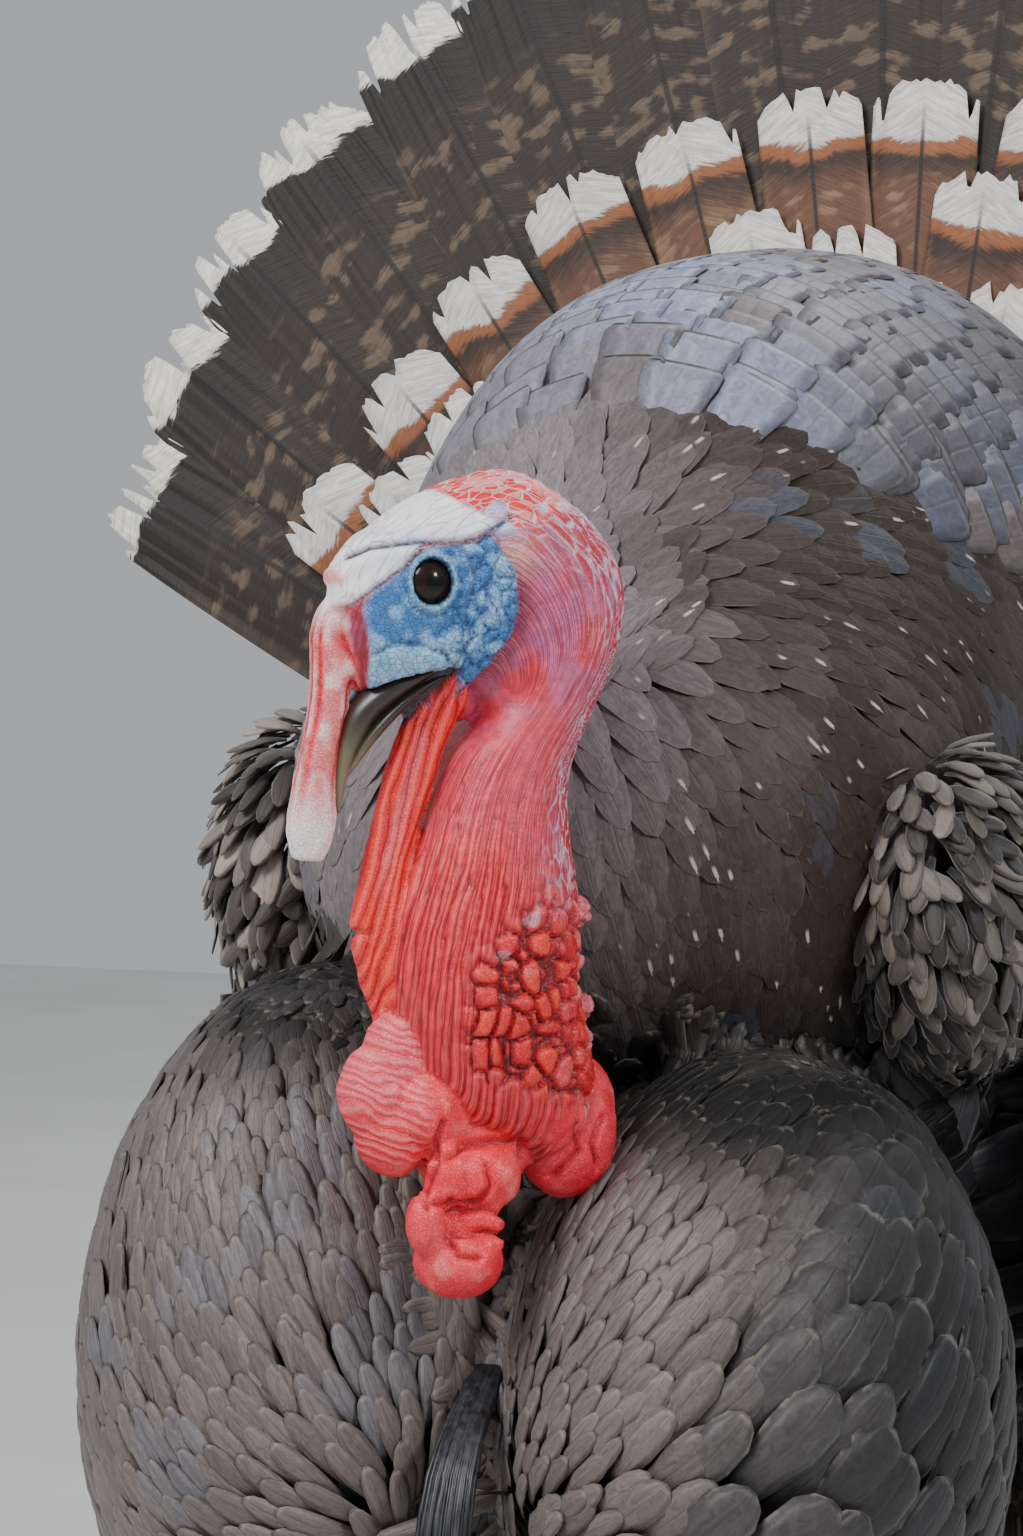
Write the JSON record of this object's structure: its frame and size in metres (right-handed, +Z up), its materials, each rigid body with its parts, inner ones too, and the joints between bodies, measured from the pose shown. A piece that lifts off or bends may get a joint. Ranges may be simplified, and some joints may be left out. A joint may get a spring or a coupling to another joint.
{
  "type": "wild turkey",
  "caption": "Displaying turkey tom standing with fanned tail, drooped wings and bare wattled head, a still life-size model.",
  "frame": {"origin": "on the floor, under the middle of the bounding box, which is within 6 mm of the bird's midline", "axes": "+Z up, the bird faces -Y, its left side is +X"},
  "size_m": [0.5955, 0.5117, 0.7696],
  "materials": {
    "plumage_dark": "soft feather, slight sheen",
    "plumage_back": "smooth feather, pearly sheen",
    "plumage_wing": "smooth feather",
    "plumage_tail": "stiff feather, satin",
    "bare_skin_blue": "moist skin",
    "bare_skin_red": "moist wrinkled skin",
    "horn": "satin horn",
    "eye": "wet gloss",
    "leg_scales": "satin scales",
    "beard": "coarse bristles"
  },
  "bodies": {
    "root": {"back": "plumage_back", "beard": "beard", "belly": "plumage_dark", "bill_lower": "horn", "bill_upper": "horn", "breast_left": "plumage_dark", "breast_right": "plumage_dark", "caruncle_left": "bare_skin_red", "caruncle_low": "bare_skin_red", "caruncle_middle": "bare_skin_red", "caruncle_right": "bare_skin_red", "dewlap": "bare_skin_red", "eye_left": "eye", "eye_right": "eye", "foot_left": "leg_scales", "foot_right": "leg_scales", "head": "bare_skin_blue", "mantle": "plumage_back", "neck_lower": "bare_skin_red", "neck_upper": "bare_skin_red", "rump": "plumage_dark", "shank_left": "leg_scales", "shank_right": "leg_scales", "snood": "bare_skin_red", "spur_left": "horn", "spur_right": "horn", "tail_coverts_under": "plumage_tail", "tail_coverts_upper": "plumage_tail", "tail_feather_01": "plumage_tail", "tail_feather_02": "plumage_tail", "tail_feather_03": "plumage_tail", "tail_feather_04": "plumage_tail", "tail_feather_05": "plumage_tail", "tail_feather_06": "plumage_tail", "tail_feather_07": "plumage_tail", "tail_feather_08": "plumage_tail", "tail_feather_09": "plumage_tail", "tail_feather_10": "plumage_tail", "tail_feather_11": "plumage_tail", "tail_feather_12": "plumage_tail", "tail_feather_13": "plumage_tail", "tail_feather_14": "plumage_tail", "tail_feather_15": "plumage_tail", "tail_feather_16": "plumage_tail", "tail_feather_17": "plumage_tail", "tail_feather_18": "plumage_tail", "thigh_left": "plumage_dark", "thigh_right": "plumage_dark", "wing_covers_left": "plumage_wing", "wing_covers_right": "plumage_wing", "wing_primaries_left": "plumage_wing", "wing_primaries_right": "plumage_wing", "wing_secondaries_left": "plumage_wing", "wing_secondaries_right": "plumage_wing", "wing_wrist_left": "plumage_wing", "wing_wrist_right": "plumage_wing"}
  },
  "joints": []
}
